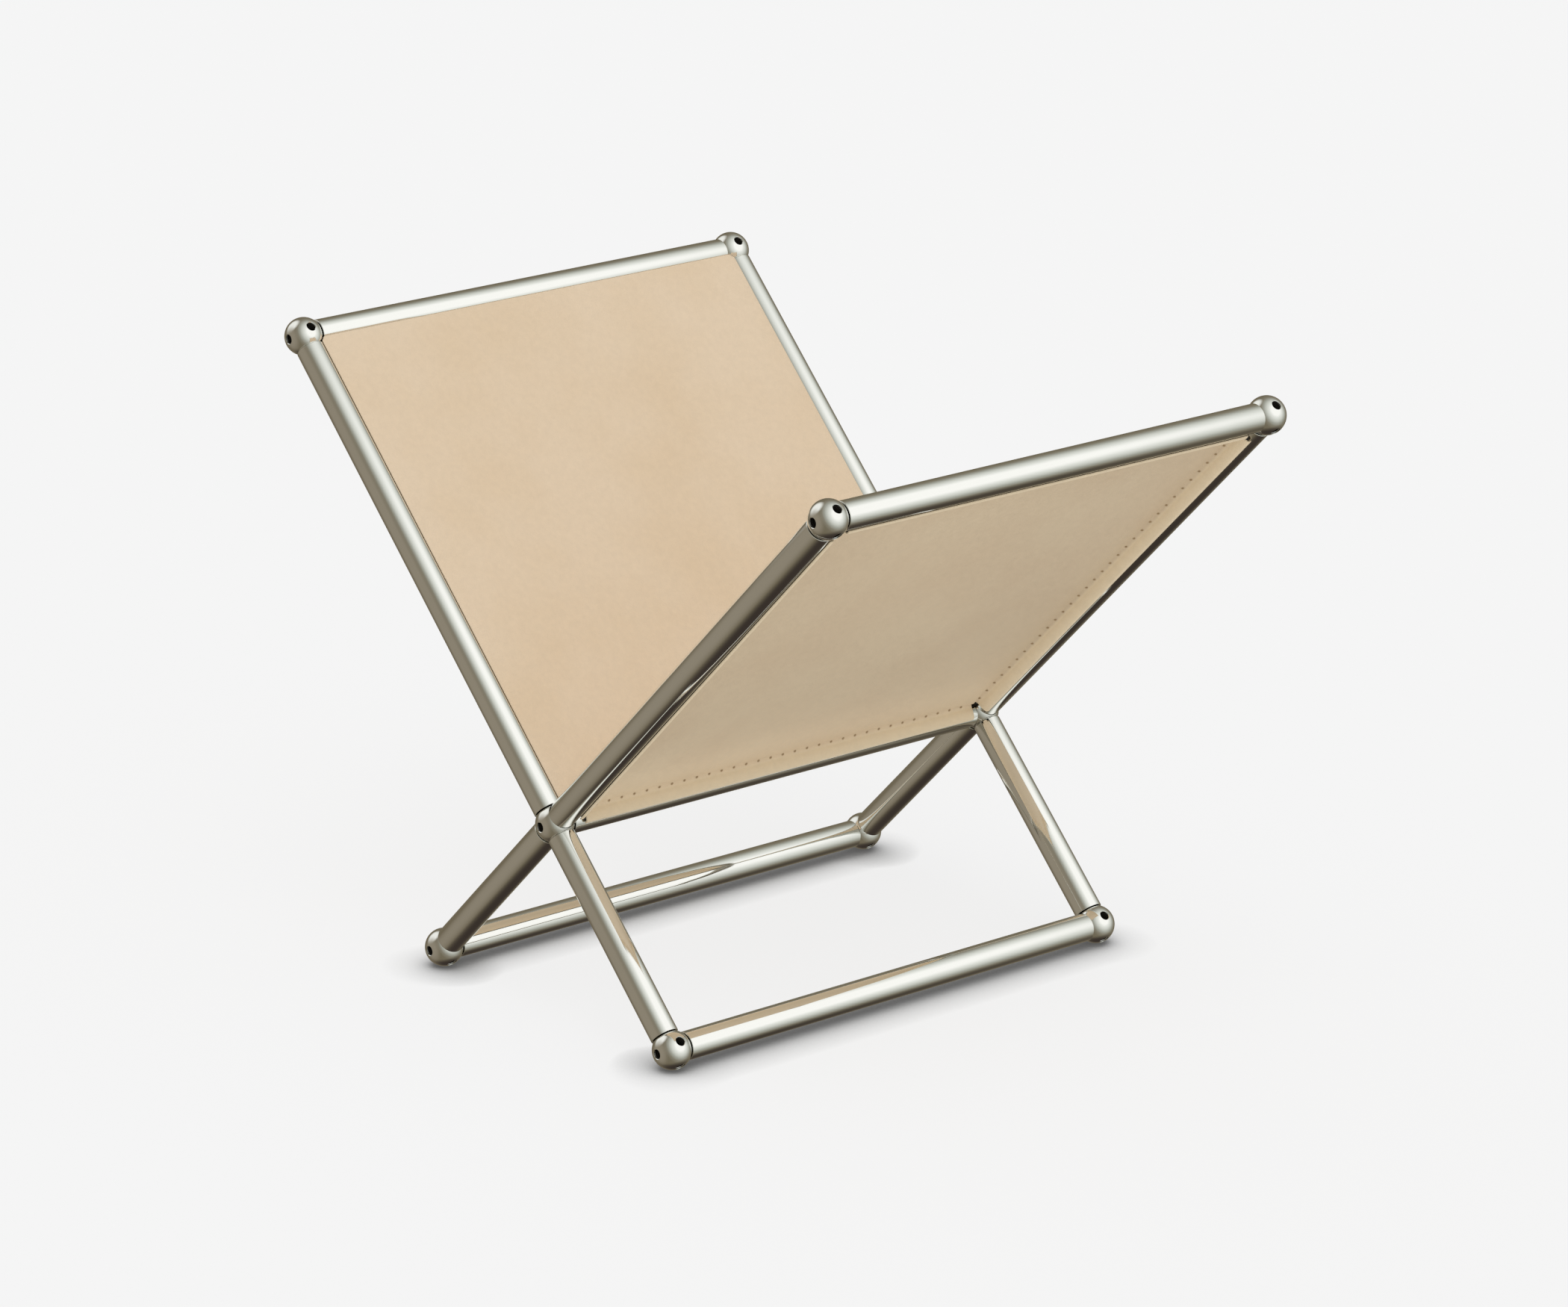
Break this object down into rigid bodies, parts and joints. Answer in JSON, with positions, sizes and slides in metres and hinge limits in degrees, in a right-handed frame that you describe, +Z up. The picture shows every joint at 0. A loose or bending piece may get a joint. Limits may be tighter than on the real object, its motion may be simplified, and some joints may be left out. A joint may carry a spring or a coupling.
{
  "type": "magazine rack",
  "caption": "Free-standing magazine rack: X-shaped chrome tube frame screwed into connector balls, with two leather-covered panels forming a V.",
  "frame": {"origin": "on the floor, midway between the four foot balls", "axes": "+X across the V from the left panel to the right panel, +Y along the rack from front to back, +Z up"},
  "size_m": [0.5364, 0.3736, 0.395],
  "materials": {
    "chrome": "polished",
    "steel": "plain",
    "leather": "smooth, semi-matt",
    "board": "dark-stained hardboard",
    "strip": "matt",
    "thread": "twisted thread"
  },
  "bodies": {
    "root": {"ball_top_left_front": "chrome", "ball_top_left_back": "chrome", "ball_top_right_front": "chrome", "ball_top_right_back": "chrome", "ball_crossing_front": "chrome", "ball_crossing_back": "chrome", "ball_foot_left_front": "chrome", "ball_foot_left_back": "chrome", "ball_foot_right_front": "chrome", "ball_foot_right_back": "chrome", "tube_top_left": "chrome", "tube_top_right": "chrome", "tube_crossing": "chrome", "tube_foot_left": "chrome", "tube_foot_right": "chrome", "tube_upper_left_front": "chrome", "tube_upper_left_back": "chrome", "tube_upper_right_front": "chrome", "tube_upper_right_back": "chrome", "tube_lower_left_front": "chrome", "tube_lower_left_back": "chrome", "tube_lower_right_front": "chrome", "tube_lower_right_back": "chrome", "tube_end_plugs": "steel", "joint_studs": "steel", "left_panel_board": "board", "left_panel_inner_leather": "leather", "left_panel_outer_leather": "leather", "left_panel_strip_top": "strip", "left_panel_strip_bottom": "strip", "left_panel_strip_front": "strip", "left_panel_strip_back": "strip", "left_panel_seam_thread": "thread", "right_panel_board": "board", "right_panel_inner_leather": "leather", "right_panel_outer_leather": "leather", "right_panel_strip_top": "strip", "right_panel_strip_bottom": "strip", "right_panel_strip_front": "strip", "right_panel_strip_back": "strip", "right_panel_seam_thread": "thread"}
  },
  "joints": []
}
